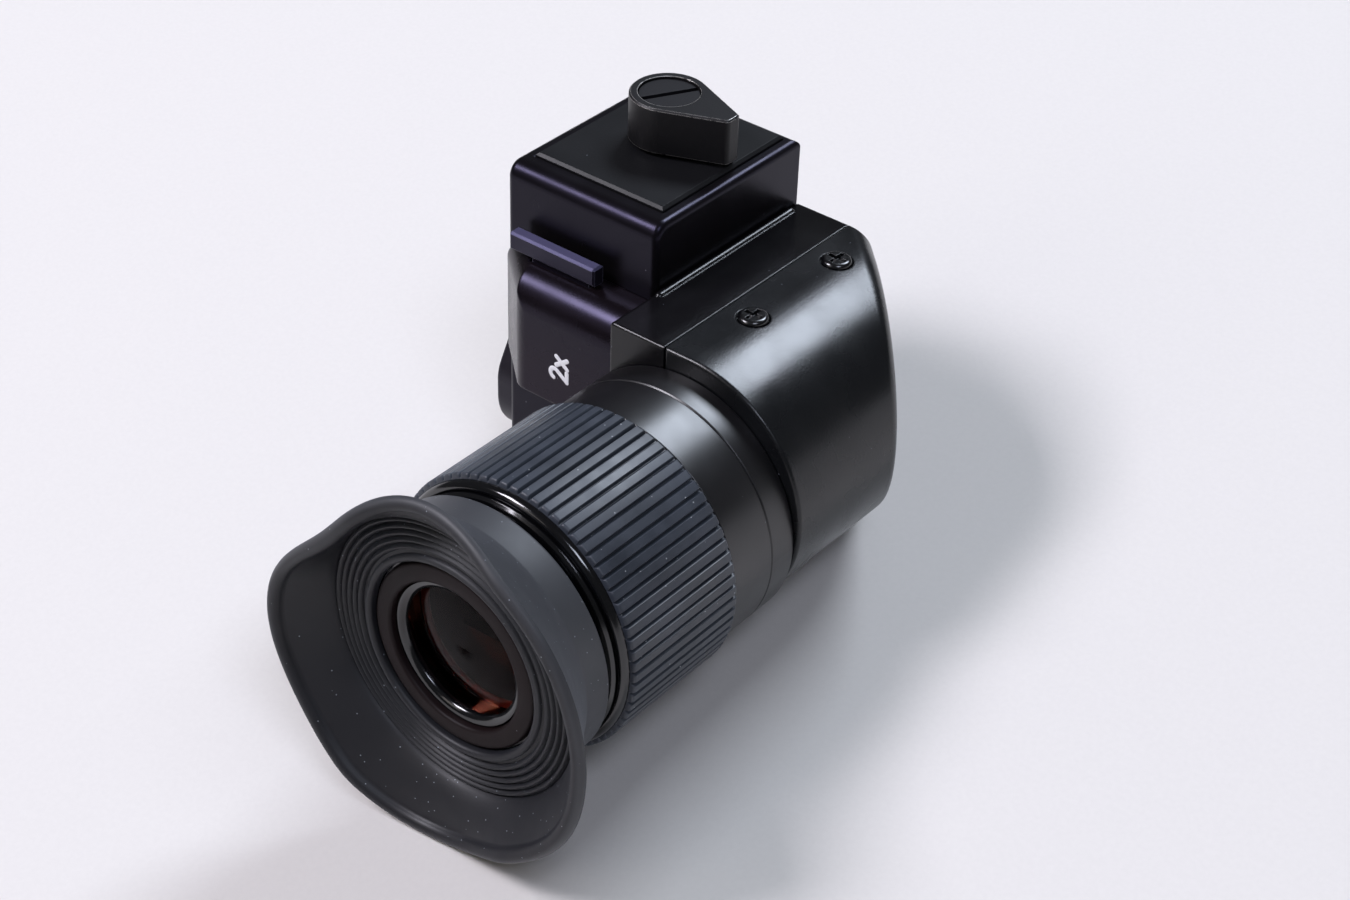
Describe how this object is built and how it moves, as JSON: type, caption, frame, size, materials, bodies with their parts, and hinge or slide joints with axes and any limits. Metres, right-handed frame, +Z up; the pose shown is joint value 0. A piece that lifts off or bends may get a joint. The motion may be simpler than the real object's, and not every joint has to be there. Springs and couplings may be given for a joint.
{
  "type": "right-angle viewfinder attachment",
  "caption": "Right-angle finder that slides onto a camera eyepiece, with a click-stopped turning coupling, a magnification lever, a focusing ring and a flared rubber eyecup.",
  "frame": {"origin": "centre of the coupling's camera face, on the axis of the light that enters", "axes": "+X along the light into the finder, -Y out of the eyepiece towards the user's eye, +Z up towards the magnification lever"},
  "size_m": [0.0561, 0.0768, 0.0519],
  "materials": {
    "block_black": "semi-gloss black stove enamel on a die casting",
    "body_black": "semi-gloss black stove enamel on a die casting",
    "cover_black": "satin black enamel with a fine grain",
    "plate_black": "satin black enamel, bare of any lettering",
    "hood_violet": "black anodised aluminium with a violet cast",
    "bar_violet": "matte black anodised aluminium with a violet cast",
    "coupling_black": "matte black anodised aluminium",
    "lever_black": "matte black paint, worn bright along the edges",
    "cap_black": "matte black paint on a slotted screw",
    "washer_black": "black oxide washer",
    "screw_black": "glossy black oxide on steel",
    "barrel_black": "semi-gloss black anodised aluminium",
    "ring_plastic": "ribbed black plastic with a grey-blue cast",
    "skirt_gloss": "polished black",
    "keeper_black": "satin black anodised aluminium",
    "cup_rubber": "matte black rubber",
    "inner_black": "dull black anodising against stray light",
    "clear_glass": "clear, polished",
    "coated_glass": "polished with an amber-brown anti-reflection coating",
    "prism_glass": "polished optical glass",
    "spring_steel": "spring steel",
    "bright_steel": "turned steel",
    "nut_brass": "turned brass"
  },
  "bodies": {
    "housing": {"changer_housing": "block_black", "dog_screws": "screw_black", "top_plate": "plate_black", "bottom_plate": "block_black", "bottom_screws": "screw_black", "front_hood": "hood_violet", "hood_screws": "screw_black", "detent_ball": "bright_steel", "detent_spring": "spring_steel", "detent_plug": "screw_black", "prism_housing": "body_black", "joint_screws": "screw_black", "prism_cover": "cover_black", "cover_screws": "screw_black", "objective_cell": "inner_black", "objective_lens": "coated_glass", "objective_retainer": "inner_black", "roof_prism": "prism_glass", "prism_table": "inner_black", "table_screws": "screw_black", "prism_clip": "spring_steel", "clip_screw": "screw_black", "barrel_seat": "barrel_black", "barrel_nut": "nut_brass", "barrel_tube": "barrel_black", "ring_keeper": "nut_brass"},
    "changer": {"mode_lever": "lever_black", "lever_cap_screw": "cap_black", "lever_washer": "washer_black", "drum_spindle": "bright_steel", "detent_disc": "bright_steel", "changer_drum": "inner_black", "tele_front_lens": "coated_glass", "tele_rear_lens": "coated_glass"},
    "coupling": {"coupling_frame": "coupling_black", "entrance_window": "clear_glass"},
    "release": {"release_slide": "bar_violet", "release_spring": "spring_steel"},
    "ring": {"dioptre_ring": "ring_plastic"},
    "eyepiece": {"eyepiece_tube": "skirt_gloss", "drive_pin": "bright_steel", "inner_lens": "coated_glass", "lens_spacer": "inner_black", "eye_lens": "coated_glass", "lens_keeper": "keeper_black"},
    "cup": {"eyecup": "cup_rubber"}
  },
  "joints": [
    {"name": "lever_turn", "type": "hinge", "parent": "housing", "child": "changer", "pos_m": [0.01345, 0, 0], "axis": [0, 0, 1], "range_deg": [-90, 0]},
    {"name": "frame_turn", "type": "hinge", "parent": "housing", "child": "coupling", "pos_m": [0, 0, 0], "axis": [1, 0, 0], "continuous": true},
    {"name": "release_press", "type": "slide", "parent": "housing", "child": "release", "axis": [0, 1, 0], "range_m": [0, 0.0008], "stiffness_N_per_m": 600, "springref_m": -0.001},
    {"name": "ring_turn", "type": "hinge", "parent": "housing", "child": "ring", "pos_m": [0.0342, 0, 0], "axis": [0, 1, 0], "range_deg": [-120, 120]},
    {"name": "eyepiece_slide", "type": "slide", "parent": "housing", "child": "eyepiece", "axis": [0, -1, 0], "range_m": [-0.0015, 0.0015]},
    {"name": "eyecup_turn", "type": "hinge", "parent": "eyepiece", "child": "cup", "pos_m": [0.0342, 0, 0], "axis": [0, 1, 0], "continuous": true}
  ],
  "couplings": [
    {"joint": "ring_turn", "follows": "eyepiece_slide", "rad_per_m": 1396.2}
  ]
}
